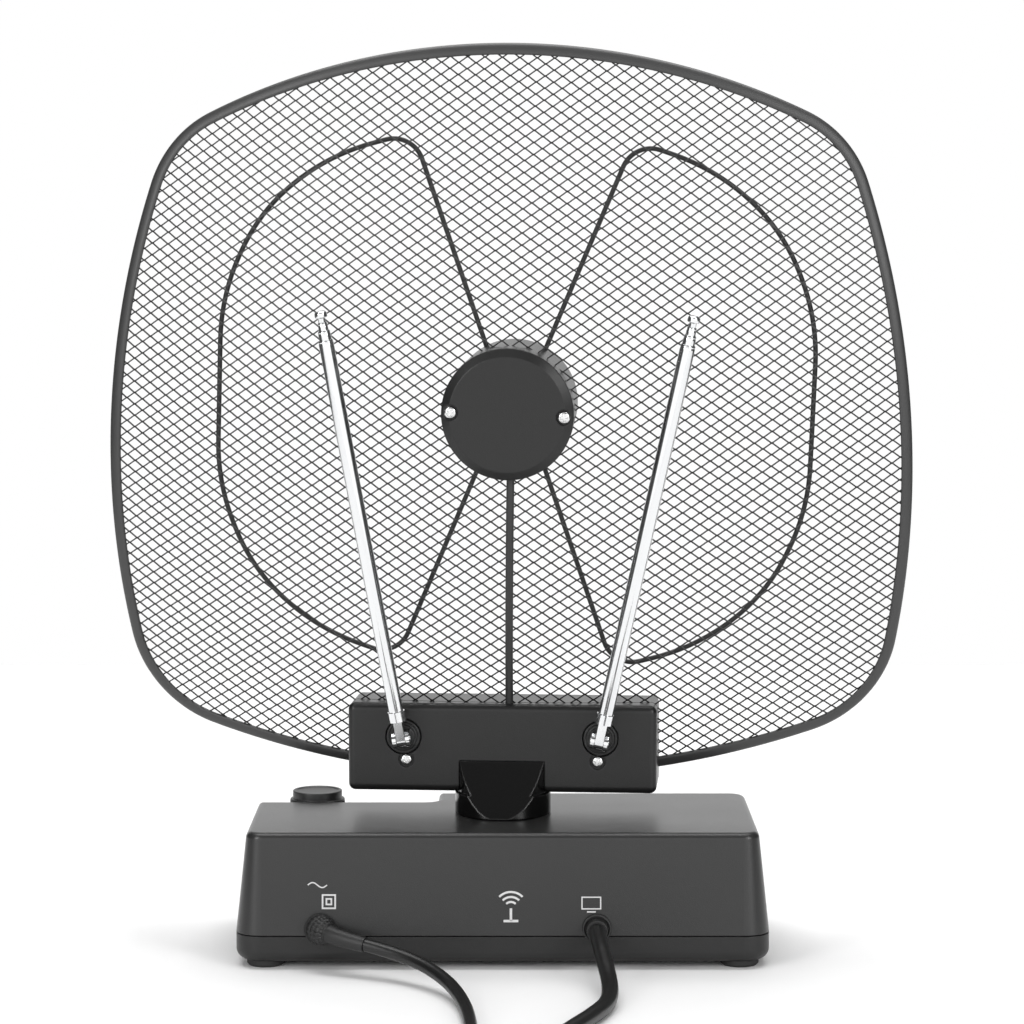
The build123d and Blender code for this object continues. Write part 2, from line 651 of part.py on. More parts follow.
# telescopic rods
for side, name in ((-1, "left"), (1, "right")):
    pivot = head * Location((side * rod_pivot_x, rod_pivot_y, rod_pivot_z), (0, rod_spread[name], 0))
    rod = pivot * Location((0, 0, 0), (rod_lean, 0, 0))
    disc_y = bracket_back - rod_pivot_y

    with BuildPart() as rod_swivel:
        with BuildSketch(facing_back(pivot, disc_y + swivel_recess - 0.2)):
            Circle(swivel_radius)
        extrude(amount=swivel_recess + 0.4)
        with BuildSketch(side_on(pivot, -ear_out)):
            Circle(ear_radius)
            with Locations(((disc_y + 0.5) / 2, 0)):
                Rectangle(disc_y + 0.5, 2 * ear_radius)
        extrude(amount=2 * ear_out)
        with BuildSketch(side_on(pivot, -tongue_half - 0.1)):
            Circle(slot_radius)
            with Locations((-5, 0)):
                Rectangle(10, 2 * slot_radius)
            with Locations((0, 5)):
                Rectangle(2 * slot_radius, 10)
        extrude(amount=2 * tongue_half + 0.2, mode=Mode.SUBTRACT)
        with BuildSketch(side_on(pivot, -10)):
            Circle(fold_pin_radius)
        extrude(amount=20, mode=Mode.SUBTRACT)
        with BuildSketch(facing_back(pivot, disc_y + swivel_recess - 0.3)):
            Circle(swivel_shaft_radius)
        extrude(amount=-7.6)
    keep(rod_swivel, f"{name}_rod_swivel")

    with BuildPart() as rod_retainer:
        with BuildSketch(facing_back(pivot, disc_y + 8.9)):
            Circle(4)
            Circle(swivel_shaft_radius + 0.02, mode=Mode.SUBTRACT)
        extrude(amount=-1)
    keep(rod_retainer, f"{name}_rod_retainer")

    with BuildPart() as fold_pin:
        with BuildSketch(side_on(pivot, -ear_out - 0.3)):
            Circle(fold_pin_radius)
        extrude(amount=2 * ear_out + 0.6)
    keep(fold_pin, f"{name}_fold_pin")

    with BuildPart() as rod_root:
        with BuildSketch(side_on(rod, -tongue_half)):
            Circle(tongue_radius)
            with Locations((0, ferrule_from / 2)):
                Rectangle(2 * tongue_radius, ferrule_from)
        extrude(amount=2 * tongue_half)
        with BuildSketch(flat(rod, ferrule_from)):
            Circle(ferrule_radius)
        extrude(amount=rod_sections[0][2] - ferrule_from)
        with BuildSketch(side_on(rod, -10)):
            Circle(fold_pin_radius + running)
        extrude(amount=20, mode=Mode.SUBTRACT)
    keep(rod_root, f"{name}_rod_root")

    for number, (outer, bore, start, stop) in enumerate(rod_sections, 1):
        with BuildPart() as rod_section:
            with BuildSketch(flat(rod, start)):
                Circle(outer)
                if bore:
                    Circle(bore, mode=Mode.SUBTRACT)
            extrude(amount=stop - start)
            if not bore:
                with BuildSketch(flat(rod, rod_tip_from)):
                    Circle(rod_tip_radius)
                extrude(amount=rod_tip_to - rod_tip_from)
        keep(rod_section, f"{name}_rod_section_{number}")


# leads
def arc_radii(points, name):
    """The largest arc each corner's two runs allow, printed for the record."""
    vectors = [Vector(*point) for point in points]
    radii = []
    for before, at, after in zip(vectors, vectors[1:], vectors[2:]):
        turn = (at - before).get_angle(after - at)
        run = min((at - before).length, (after - at).length)
        radii.append(0.45 * run / tan(radians(turn / 2)))
    print(name, "radii", [round(radius, 1) for radius in radii])
    return radii


def lead(points, radius, name):
    """A lead's tube: straight runs joined by tangent arcs."""
    with BuildPart(mode=Mode.PRIVATE) as tube:
        with BuildLine() as path:
            FilletPolyline(points, radius=arc_radii(points, name))
        with BuildSketch(Plane(path.line @ 0, z_dir=path.line % 0)):
            Circle(radius)
        sweep()
    length = path.wires()[0].length
    share = tube.part.volume / (length * pi * radius**2)
    print(name, "length", round(length), "volume share", round(share, 4))
    return tube.part


def coil(at, mean, lanes, diameter):
    """The outer shape of a two-layer coil."""
    with BuildPart(mode=Mode.PRIVATE) as ring:
        with BuildSketch():
            with Locations(at):
                Circle(mean + lanes * diameter / 2)
                Circle(mean - lanes * diameter / 2, mode=Mode.SUBTRACT)
        extrude(amount=2 * diameter)
        chamfer(ring.edges(), 0.3 * diameter)
    return ring.part


boot_start = Vector(*mains_exit)
with BuildPart() as mains_strain_relief:
    with BuildSketch(Plane.XZ.offset(-mains_exit[1] - 5.5)):
        with Locations((mains_exit[0], mains_exit[2])):
            Circle(boot_neck_radius - 0.05)
    extrude(amount=6.5)
    with BuildSketch(Plane.XZ.offset(-mains_exit[1] - 5.5)):
        with Locations((mains_exit[0], mains_exit[2])):
            Circle(boot_radius)
    extrude(amount=1.4)
    with BuildSketch(Plane.XZ.offset(-mains_exit[1] + 0.1)):
        with Locations((mains_exit[0], mains_exit[2])):
            Circle(boot_radius)
    with BuildSketch(Plane(boot_start + boot_aim * boot_length, z_dir=boot_aim)):
        Circle(mains_diameter / 2 + 0.7)
    loft()
keep(mains_strain_relief, "mains_strain_relief")

with BuildPart() as coax_strain_relief:
    with BuildSketch(Plane.XZ.offset(-coax_exit[1] - 6)):
        with Locations((coax_exit[0], coax_exit[2])):
            Circle(gland_neck_radius - 0.05)
    extrude(amount=6.5)
    with BuildSketch(Plane.XZ.offset(-coax_exit[1] + 0.4)):
        with Locations((coax_exit[0], coax_exit[2])):
            Circle(coax_diameter / 2 + 0.8)
    extrude(amount=coax_gland_length)
keep(coax_strain_relief, "coax_strain_relief")

with BuildPart() as mains_cord:
    add(lead(mains_route, mains_diameter / 2, "mains_cord"))
    add(lead(mains_tail, mains_diameter / 2, "mains_tail"))
keep(mains_cord, "mains_cord")

with BuildPart() as coax_cord:
    add(lead(coax_route, coax_diameter / 2, "coax_cord"))
    add(lead(coax_tail, coax_diameter / 2, "coax_tail"))
keep(coax_cord, "coax_cord")

with BuildPart() as mains_cord_coil:
    add(coil(mains_coil_at, mains_coil_mean, mains_lanes, mains_diameter))
keep(mains_cord_coil, "mains_cord_coil")

with BuildPart() as coax_cord_coil:
    add(coil(coax_coil_at, coax_coil_mean, coax_lanes, coax_diameter))
keep(coax_cord_coil, "coax_cord_coil")

# mains plug, lying flat with its pins away from its lead
plug_x, plug_y, plug_z = plug_at
shoulder_x, front_x = plug_x - 9, plug_x - plug_length
with BuildPart() as mains_plug_body:
    with BuildSketch():
        Polygon((plug_x, plug_y + 6), (shoulder_x, plug_y + 14), (shoulder_x - 10, plug_y + plug_width / 2),
                (front_x, plug_y + plug_width / 2), (front_x, plug_y - plug_width / 2),
                (shoulder_x - 10, plug_y - plug_width / 2), (shoulder_x, plug_y - 14), (plug_x, plug_y - 6),
                align=None)
    extrude(amount=2 * plug_z)
    fillet(mains_plug_body.edges().filter_by(Axis.Z), 2)
    chamfer(mains_plug_body.faces().filter_by(Axis.Z).edges(), 1)
keep(mains_plug_body, "mains_plug_body")

with BuildPart() as mains_plug_pins:
    with BuildSketch(Plane.YZ.offset(front_x)):
        with Locations((plug_y - pin_gap / 2, plug_z), (plug_y + pin_gap / 2, plug_z)):
            Circle(pin_radius)
    extrude(amount=-pin_length)
keep(mains_plug_pins, "mains_plug_pins")

# coax plug, a stepped barrel with its ring and pin
sleeve_x, sleeve_y, sleeve_z = sleeve_at
barrel_x = sleeve_x + sleeve_length
ring_x = barrel_x + barrel_length
with BuildPart() as coax_plug_body:
    with BuildSketch(Plane.YZ.offset(sleeve_x)):
        with Locations((sleeve_y, sleeve_z)):
            Circle(4)
    extrude(amount=sleeve_length)
    with BuildSketch(Plane.YZ.offset(barrel_x)):
        with Locations((sleeve_y, sleeve_z)):
            Circle(barrel_radius)
    extrude(amount=barrel_length)
keep(coax_plug_body, "coax_plug_body")

with BuildPart() as coax_plug_ring:
    with BuildSketch(Plane.YZ.offset(ring_x)):
        with Locations((sleeve_y, sleeve_z)):
            Circle(4.75)
            Circle(4.1, mode=Mode.SUBTRACT)
    extrude(amount=11)
keep(coax_plug_ring, "coax_plug_ring")

with BuildPart() as coax_plug_pin:
    with BuildSketch(Plane.YZ.offset(ring_x)):
        with Locations((sleeve_y, sleeve_z)):
            Circle(1.17)
    extrude(amount=9.5)
keep(coax_plug_pin, "coax_plug_pin")

os.makedirs("parts", exist_ok=True)
for name, part in parts.items():
    export_step(part, f"parts/{name}.step")
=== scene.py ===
import json

import bmesh
import bpy
import numpy as np
from mathutils import Matrix
from math import cos, pi, radians, sin, sqrt, tau


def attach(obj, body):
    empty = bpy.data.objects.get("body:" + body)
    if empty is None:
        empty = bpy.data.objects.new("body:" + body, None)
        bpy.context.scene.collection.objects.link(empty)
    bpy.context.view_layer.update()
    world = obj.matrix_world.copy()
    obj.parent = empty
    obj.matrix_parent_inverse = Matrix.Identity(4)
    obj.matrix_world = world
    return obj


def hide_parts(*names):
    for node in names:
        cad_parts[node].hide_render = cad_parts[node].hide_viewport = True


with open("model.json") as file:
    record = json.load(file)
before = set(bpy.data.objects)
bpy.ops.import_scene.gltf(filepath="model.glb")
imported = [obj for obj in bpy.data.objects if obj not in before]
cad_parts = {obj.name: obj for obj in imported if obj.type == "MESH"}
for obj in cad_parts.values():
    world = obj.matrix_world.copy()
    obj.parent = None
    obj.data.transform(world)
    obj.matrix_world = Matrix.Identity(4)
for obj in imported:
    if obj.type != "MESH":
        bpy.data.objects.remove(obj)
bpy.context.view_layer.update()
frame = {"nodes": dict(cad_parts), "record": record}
nodes = frame["nodes"]
print("frame loaded:", len(nodes), "CAD nodes")

# camera: at the height of the hub, behind the antenna, tipped slightly down
camera = bpy.data.objects.new("camera", bpy.data.cameras.new("camera"))
camera.data.lens, camera.data.sensor_width = 113.55, 36
camera.data.clip_start, camera.data.clip_end = 0.05, 20
camera.location = (0.0034, -1.203, 0.275)
camera.rotation_euler = (radians(84.7), 0, 0)
bpy.context.scene.collection.objects.link(camera)
bpy.context.scene.camera = camera


# a frame is a 3x3 turn and an origin in mm; pieces are drawn in mm and stored in metres
def turned(degrees, axis):
    # right-hand turn matrix about one axis
    c, s = cos(radians(degrees)), sin(radians(degrees))
    if axis == "x":
        return np.array([[1, 0, 0], [0, c, -s], [0, s, c]])
    if axis == "y":
        return np.array([[c, 0, s], [0, 1, 0], [-s, 0, c]])
    return np.array([[c, -s, 0], [s, c, 0], [0, 0, 1]])


def subFrame(parent, origin, turn=None):
    # a frame placed in another one
    turnOfParent, originOfParent = parent
    turn = np.eye(3) if turn is None else turn
    return turnOfParent @ turn, originOfParent + turnOfParent @ np.array(origin, float)


def aimedFrame(origin, aim):
    # a frame whose z axis points along aim
    z = np.array(aim, float) / np.linalg.norm(aim)
    x = np.cross((0, 0, 1.0) if abs(z[2]) < 0.9 else (0, 1.0, 0), z)
    x /= np.linalg.norm(x)
    return np.stack([x, np.cross(z, x), z], 1), np.array(origin, float)


world = np.eye(3), np.zeros(3)
head = subFrame(world, (0, 0, 0), turned(-4.5, "z"))
dish = subFrame(head, (1, -23.5, 197), turned(4.2, "x"))
hub = subFrame(dish, (3.2, 0, 5.5), turned(2.3, "y"))


# surfaces: numpy grids of points, joined into one mesh for each piece
def gridFaces(points, wrapU=False, wrapV=False):
    # quads between neighbouring points of a (u, v) grid, closed on itself where asked
    countU, countV = points.shape[:2]
    u, v = np.meshgrid(np.arange(countU - (not wrapU)), np.arange(countV - (not wrapV)), indexing="ij")
    nextU, nextV = (u + 1) % countU, (v + 1) % countV
    quads = np.stack([u * countV + v, nextU * countV + v, nextU * countV + nextV, u * countV + nextV], -1)
    return points.reshape(-1, 3), quads.reshape(-1, 4)


def lathe(profile, local, bump=None, around=64, ring=False):
    # point = (r cos t, r sin t, z) with (r, z) along the profile;
    # bump(t, z) is added to r, and ring closes the profile on itself
    profile = np.array(profile, float)
    t = np.arange(around) / around * tau
    r, z = profile[:, :1] + 0 * t, profile[:, 1:] + 0 * t
    if bump is not None:
        r = np.where(r > 0, r + bump(t, z), r)
    points = np.stack([r * np.cos(t), r * np.sin(t), z], -1)
    turn, origin = local
    return gridFaces(points @ turn.T + origin, wrapU=ring, wrapV=True)


def rounded(corners, radius, steps=5):
    # a profile with each inner corner replaced by a quadratic curve that starts radius away from it
    corners = np.array(corners, float)
    out, t = [corners[:1]], np.linspace(0, 1, steps)[:, None]
    for before, at, after in zip(corners, corners[1:], corners[2:]):
        back, on = before - at, after - at
        a = at + back * min(0.49, radius / np.linalg.norm(back))
        b = at + on * min(0.49, radius / np.linalg.norm(on))
        out.append((1 - t) ** 2 * a + 2 * t * (1 - t) * at + t**2 * b)
    return np.concatenate(out + [corners[-1:]])


def strap(path, width, low, high, lay, closed=False):
    # a flat bar along a plane path: half its width to each side, mitred at the corners;
    # lay(x, z, b) carries it onto its surface at height b
    path = np.array(path, float)
    if closed:
        before, after = path - np.roll(path, 1, 0), np.roll(path, -1, 0) - path
    else:
        step = np.diff(path, axis=0)
        before, after = np.concatenate([step[:1], step]), np.concatenate([step, step[-1:]])
    before /= np.linalg.norm(before, axis=1, keepdims=True)
    after /= np.linalg.norm(after, axis=1, keepdims=True)
    along = before + after
    along /= np.linalg.norm(along, axis=1, keepdims=True)
    side = np.stack([-along[:, 1], along[:, 0]], 1) / np.maximum((along * after).sum(1), 0.5)[:, None]
    rows = [lay(*(path + side * half).T, b) for half, b in
            ((width / 2, low), (width / 2, high), (-width / 2, high), (-width / 2, low))]
    points, quads = gridFaces(np.stack(rows, 1), wrapU=closed, wrapV=True)
    if not closed:
        last = len(points) - 4
        quads = np.concatenate([quads, [[3, 2, 1, 0], [last, last + 1, last + 2, last + 3]]])
    return points, quads


def addPiece(name, surfaces, slot, body, replaces=(), sharp=38):
    # join the surfaces, weld seams and poles, point the faces outwards,
    # and shade smooth up to the sharp angle; a piece without a slot is printed ink
    points, quads, count = [], [], 0
    for p, q in surfaces:
        points.append(p)
        quads.append(q + count)
        count += len(p)
    mesh = bpy.data.meshes.new(name)
    mesh.from_pydata(np.concatenate(points) * 0.001, [], np.concatenate(quads).tolist())
    work = bmesh.new()
    work.from_mesh(mesh)
    bmesh.ops.remove_doubles(work, verts=work.verts, dist=2e-6)
    bmesh.ops.dissolve_degenerate(work, edges=work.edges, dist=1e-7)
    bmesh.ops.recalc_face_normals(work, faces=work.faces)
    work.to_mesh(mesh)
    work.free()
    mesh.polygons.foreach_set("use_smooth", np.ones(len(mesh.polygons), bool))
    mesh.set_sharp_from_angle(angle=radians(sharp))
    mesh.materials.append(finishes[slot] if slot else printInk)
    piece = bpy.data.objects.new(name, mesh)
    bpy.context.scene.collection.objects.link(piece)
    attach(piece, body)
    if replaces:
        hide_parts(*replaces)
    return piece


# materials: sockets that can be added and multiplied, and one way to make any node
class Wire:
    def __init__(self, graph, socket):
        self.graph, self.socket = graph, socket

    def sum(self, kind, other, swap=False):
        pair = (other, self) if swap else (self, other)
        return self.graph.make("ShaderNodeMath", {"operation": kind}, {0: pair[0], 1: pair[1]})

    def __add__(self, other):
        return self.sum("ADD", other)

    def __radd__(self, other):
        return self.sum("ADD", other, True)

    def __mul__(self, other):
        return self.sum("MULTIPLY", other)

    def __rmul__(self, other):
        return self.sum("MULTIPLY", other, True)

    def over(self, other):
        return self.sum("GREATER_THAN", other)


class Graph:
    def __init__(self, tree):
        self.tree = tree

    def make(self, kind, settings=None, inputs=None, output=0):
        # settings first, then socket values or links by name or number
        node = self.tree.nodes.new(kind)
        for key, value in (settings or {}).items():
            if key == "stops":
                ramp = node.color_ramp
                while len(ramp.elements) < len(value):
                    ramp.elements.new(0.5)
                for element, (place, level) in zip(ramp.elements, value):
                    element.position, element.color = place, (level, level, level, 1)
            else:
                setattr(node, key, value)
        for key, value in (inputs or {}).items():
            if isinstance(value, Wire):
                self.tree.links.new(value.socket, node.inputs[key])
            else:
                node.inputs[key].default_value = value
        return Wire(self, node.outputs[output]) if len(node.outputs) else node

    def place(self):
        return self.make("ShaderNodeTexCoord", output="Object")

    def noise(self, scale, detail=3, rough=0.5, stretch=(1, 1, 1)):
        at = self.make("ShaderNodeMapping", {}, {"Vector": self.place(), "Scale": stretch})
        look = {"Vector": at, "Scale": scale, "Detail": detail, "Roughness": rough}
        return self.make("ShaderNodeTexNoise", {}, look)

    def ramp(self, factor, stops):
        return self.make("ShaderNodeValToRGB", {"stops": stops}, {0: factor})

    def tint(self, colour, amount, factor):
        # the colour made lighter and darker by amount as the factor goes round 0.5
        low, high = ([c * k for c in colour] + [1] for k in (1 - amount, 1 + amount))
        return self.blend(factor, low, high)

    def blend(self, factor, low, high):
        # a colour between low and high
        return self.make("ShaderNodeMix", {"data_type": "RGBA"}, {0: factor, 6: low, 7: high}, output=2)


broadScale = 40


def newMaterial(name, colour, roughness, vary, roughVary, grain, grainScale, soften=0,
                metallic=0, specular=0.5, streak=(1, 1, 1), extra=None):
    # a finish: colour and roughness drift with a broad noise, a fine noise gives the surface its grain,
    # and where soften is set, edges are rounded by that many metres in the normal
    material = bpy.data.materials.new(name)
    material.use_nodes = True
    graph = Graph(material.node_tree)
    shader = material.node_tree.nodes["Principled BSDF"]
    broad = graph.noise(broadScale, 4, 0.55)
    fine = graph.noise(grainScale, 2, 0.6, streak)
    tone = graph.tint(colour, vary, broad * 0.7 + fine * 0.3)
    rough = (roughness - roughVary) + 2 * roughVary * (broad * 0.5 + fine * 0.5)
    height = fine * 1.0
    if extra:
        tone, rough, height = extra(graph, tone, rough, height)
    normal = {"Height": height, "Strength": 1.0, "Distance": grain}
    if soften:
        normal["Normal"] = graph.make("ShaderNodeBevel", {"samples": 6}, {"Radius": soften})
    bumped = graph.make("ShaderNodeBump", {}, normal)
    for socket, wire in (("Base Color", tone), ("Roughness", rough), ("Normal", bumped)):
        graph.tree.links.new(wire.socket, shader.inputs[socket])
    shader.inputs["Metallic"].default_value = metallic
    shader.inputs["Specular IOR Level"].default_value = specular
    return material


def grey(level, warm=0.0):
    return (level * (1 + warm), level, level * (1 - warm))


def dust(graph, tone, rough, height):
    # fine pale specks, as on handled dark plastic
    specks = graph.noise(5200, 1, 0.4).over(0.74)
    pale = graph.blend(specks * 0.05, tone, (0.3, 0.3, 0.3, 1))
    return pale, rough + specks * 0.1, height


def tracks(graph, tone, rough, height):
    # copper tracks under solder mask: bands of a stepped noise on a coarse cell pattern
    cells = graph.make("ShaderNodeTexVoronoi", {"distance": "MANHATTAN", "feature": "DISTANCE_TO_EDGE"},
                       {"Vector": graph.place(), "Scale": 260.0})
    lines = graph.ramp(cells, [(0.0, 1), (0.12, 1), (0.16, 0)])
    light = graph.blend(lines, tone, (0.09, 0.33, 0.12, 1))
    return light, rough, height * 0.2 + lines * 0.4


def turns(graph, tone, rough, height):
    # wound wire: bands along z, with painted shade in the grooves between the turns
    bands = graph.make("ShaderNodeTexWave", {"bands_direction": "Z"},
                       {"Vector": graph.place(), "Scale": 650.0, "Distortion": 0.4})
    dark = graph.blend(bands, (0.1, 0.03, 0.01, 1), tone)
    return dark, rough, bands * 1.0


soft = 0.0005
finishes = {
    "upper_plastic": newMaterial("upperPlastic", grey(0.02), 0.3, 0.1, 0.05, 0.00004, 2600, soft,
                                 extra=dust),
    "lower_plastic": newMaterial("lowerPlastic", grey(0.013), 0.4, 0.1, 0.05, 0.00006, 2200, soft,
                                 specular=0.42, extra=dust),
    "foot_rubber": newMaterial("footRubber", grey(0.02), 0.8, 0.2, 0.06, 0.0001, 1800, soft),
    "gloss_plastic": newMaterial("glossPlastic", grey(0.003), 0.16, 0.1, 0.03, 0.00001, 1200, 0.0007),
    "satin_plastic": newMaterial("satinPlastic", grey(0.009), 0.34, 0.1, 0.05, 0.00004, 2600, 0.0007,
                                 specular=0.42, extra=dust),
    "knob_plastic": newMaterial("knobPlastic", grey(0.02), 0.4, 0.1, 0.05, 0.00003, 2600, 0.0002),
    "mesh_metal": newMaterial("meshCoat", grey(0.01), 0.45, 0.2, 0.1, 0.00003, 3000),
    "rim_metal": newMaterial("rimCoat", grey(0.036), 0.4, 0.1, 0.06, 0.00003, 3000),
    "loop_metal": newMaterial("loopCoat", grey(0.015), 0.4, 0.15, 0.08, 0.00002, 3000),
    "mast_metal": newMaterial("mastCoat", grey(0.02), 0.4, 0.15, 0.08, 0.00002, 3000),
    "rod_chrome": newMaterial("rodChrome", grey(0.78, -0.01), 0.1, 0.03, 0.05, 0.000004, 900, metallic=1,
                              streak=(1, 1, 0.04)),
    "screw_steel": newMaterial("screwSteel", grey(0.72), 0.22, 0.06, 0.08, 0.00001, 2400, metallic=1),
    "board_laminate": newMaterial("boardMask", (0.02, 0.14, 0.05), 0.3, 0.1, 0.05, 0.00003, 900,
                                  extra=tracks),
    "copper_winding": newMaterial("windingCopper", (0.6, 0.24, 0.1), 0.3, 0.1, 0.05, 0.0002, 900,
                                  metallic=1, extra=turns),
    "plate_steel": newMaterial("plateSteel", grey(0.5), 0.38, 0.08, 0.08, 0.00002, 1500, metallic=1,
                               streak=(1, 0.05, 1)),
    "capacitor_sleeve": newMaterial("capacitorSleeve", (0.02, 0.025, 0.08), 0.25, 0.1, 0.04, 0.00001, 900),
    "brass": newMaterial("brassPlain", (0.72, 0.52, 0.22), 0.28, 0.06, 0.06, 0.00001, 1500, metallic=1),
    "plug_nickel": newMaterial("plugNickel", grey(0.7, 0.02), 0.2, 0.04, 0.06, 0.00001, 1500, metallic=1),
    "plug_plastic": newMaterial("plugPlastic", grey(0.009), 0.46, 0.1, 0.06, 0.00005, 2000, extra=dust),
    "lead_sheath": newMaterial("leadSheath", grey(0.006), 0.34, 0.12, 0.06, 0.00003, 1600),
}
printInk = newMaterial("printInk", grey(0.62), 0.55, 0.08, 0.05, 0.00001, 3000)
for part in frame["record"]["subparts"]:
    for held in nodes[part["node"]].material_slots:
        held.material = finishes[part["material_slot"]]
print("finishes:", len(finishes))

# leads, as smooth splines through the same route points as the CAD tubes
leadSizes = {"mains": 4.8, "coax": 6.0, "pointsPerTurn": 20, "climbTurns": 1.25, "dip": 0.62, "grow": 0.85}


def coilPoints(centre, outer, inner, diameter, start, sense):
    # spiral in on the table, climb one layer at the inside and spiral out on top;
    # each turn shifts by one diameter, and the climb dips inwards clear of its neighbours
    n = leadSizes["pointsPerTurn"]
    flatTurns = (outer - inner) / diameter
    climb = leadSizes["climbTurns"]
    turn = np.arange(1, int(round((2 * flatTurns + climb) * n))) / n
    rise = np.clip((turn - flatTurns) / climb, 0, 1)
    outwards = inner + diameter * (turn - flatTurns - climb)
    radius = np.where(turn < flatTurns, outer - diameter * turn, outwards)
    radius = np.where((turn >= flatTurns) & (turn <= flatTurns + climb),
                      inner - leadSizes["dip"] * diameter * (1 - (2 * rise - 1) ** 4), radius)
    angle = radians(start) + sense * turn * tau
    grow = 1 / cos(pi / n) ** leadSizes["grow"]
    return np.stack([centre[0] + grow * radius * np.cos(angle), centre[1] + grow * radius * np.sin(angle),
                     diameter * (0.5 + rise)], 1)


def leadSpline(name, points, diameter, material):
    # a NURBS curve with the route's points as its control points, round in section
    curve = bpy.data.curves.new(name, "CURVE")
    curve.dimensions = "3D"
    curve.bevel_depth, curve.bevel_resolution, curve.use_fill_caps = diameter / 2000, 5, True
    curve.resolution_u = curve.render_resolution_u = 6
    spline = curve.splines.new("NURBS")
    spline.points.add(len(points) - 1)
    spline.points.foreach_set("co", np.concatenate([points * 0.001, np.ones((len(points), 1))], 1).ravel())
    spline.order_u, spline.use_endpoint_u = 3, True
    curve.materials.append(material)
    piece = bpy.data.objects.new(name, curve)
    bpy.context.scene.collection.objects.link(piece)
    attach(piece, "base")
    return piece


bootAim = np.array((0.8, -0.57, -0.15)) / np.linalg.norm((0.8, -0.57, -0.15))
bootAt, glandAt = np.array((-67, -46, 15.5)), np.array((34.3, -46, 15.4))
mainsRoute = [tuple(bootAt + bootAim * 22), (-38, -64.5, 10.4), (-27.5, -73, 8), (-19.5, -85, 5.4),
              (-14.5, -100, 3.4), (-11.6, -119, 2.4), (-10.2, -144, 2.4), (-10.6, -173, 2.4),
              (-10.4, -203, 2.4)]
mainsTail = [(-50, -236.4, 7.2), (-64, -237.4, 6.2), (-78.5, -237.2, 6), (-92, -236, 7)]
coaxRoute = [(34.3, -51.4, 15.4), (34.8, -62, 13.8), (36.4, -75, 9.6), (38, -90, 5), (37, -107, 3),
             (31, -125, 3), (22.5, -145, 3), (14, -167, 3), (10, -191, 3), (9, -215, 3)]
coaxTail = [(54, -253.7, 9), (68, -255, 7.2), (82, -254.8, 5.4), (94, -253.2, 4.8), (104.2, -252, 5.5)]
mainsPoints = np.concatenate([mainsRoute, coilPoints((-44, -203), 33.6, 19.2, 4.8, 0, -1), mainsTail])
coaxPoints = np.concatenate([coaxRoute, coilPoints((48, -215), 39, 27, 6, 180, 1), coaxTail])
mainsLead = leadSpline("mainsLead", mainsPoints, leadSizes["mains"], finishes["lead_sheath"])
coaxLead = leadSpline("coaxLead", coaxPoints, leadSizes["coax"], finishes["lead_sheath"])
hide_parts("mains_cord", "mains_cord_coil")
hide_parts("coax_cord", "coax_cord_coil")
print("leads laid")

# strain reliefs and plugs
boot = {"collar": 5.6, "throat": 3.5, "end": 2.75, "length": 22.0, "ribbed": 0.42, "ribs": 4,
        "ribDepth": 0.45, "flutes": 18, "bend": (2.5, -6.0, -1.0)}


def bootShell():
    # rings along a quadratic curve that leaves the panel square and turns to the lead's line:
    # radius = collar falling to throat over the ribbed part, then to end; ribs and flutes are cut into it
    s, t = np.linspace(0, 1, 120)[:, None], np.arange(108) / 108 * tau
    first, middle, last = bootAt, bootAt + boot["bend"], bootAt + bootAim * boot["length"]
    centre = (1 - s) ** 2 * first + 2 * s * (1 - s) * middle + s**2 * last
    along = (1 - s) * (middle - first) + s * (last - middle)
    along /= np.linalg.norm(along, axis=1, keepdims=True)
    side = np.cross(along, (0, 0, 1.0))
    side /= np.linalg.norm(side, axis=1, keepdims=True)
    up = np.cross(side, along)
    part = np.clip(s / boot["ribbed"], 0, 1)
    radius = boot["throat"] + (boot["collar"] - boot["throat"]) * np.sqrt(np.clip(1 - part**2.2, 0, 1))
    plain = np.clip((s - boot["ribbed"]) / (1 - boot["ribbed"]), 0, 1)
    radius = radius - (boot["throat"] - boot["end"]) * plain
    live = (part > 0.08) & (part < 0.97)
    ribs = np.clip(np.cos(part * boot["ribs"] * tau) * 3, -1, 1) * 0.5 - 0.5
    flutes = np.clip(np.cos(t * boot["flutes"]) * 4 + 2.5, -1, 1) * 0.5 - 0.5
    r = radius + np.where(live, boot["ribDepth"] * ribs + 0.3 * flutes, 0)
    r[[0, -1]] = 0
    centre[0], centre[-1] = centre[1], centre[-2]
    outSide, outUp = (r * np.cos(t))[..., None] * side[:, None], (r * np.sin(t))[..., None] * up[:, None]
    return gridFaces(centre[:, None] + outSide + outUp, wrapV=True)


# the boot's neck goes through the wall of the base
neckProfile = rounded([(0, -5.8), (3.4, -5.8), (3.4, 1), (0, 1)], 0.3)
mainsBoot = addPiece("mainsBoot", [bootShell(), lathe(neckProfile, aimedFrame(bootAt, (0, -1, 0)))],
                     "plug_plastic", "base", ["mains_strain_relief"])
glandProfile = rounded([(0, -5.8), (4.8, -5.8), (4.8, 0.1), (5.3, 0.1), (5.3, 1.0), (4.5, 1.2),
                        (4.5, 0.5), (4.0, 0.5), (3.9, 5.4), (3.1, 5.4), (0, 5.4)], 0.3)
coaxGland = addPiece("coaxGland", [lathe(glandProfile, aimedFrame(glandAt, (0, -1, 0)))],
                     "plug_plastic", "base", ["coax_strain_relief"])

plug = {"tail": (-92, -236, 7), "length": 39.0, "halfWidth": 17.4, "halfHeight": 6.95, "pinGap": 18.6}


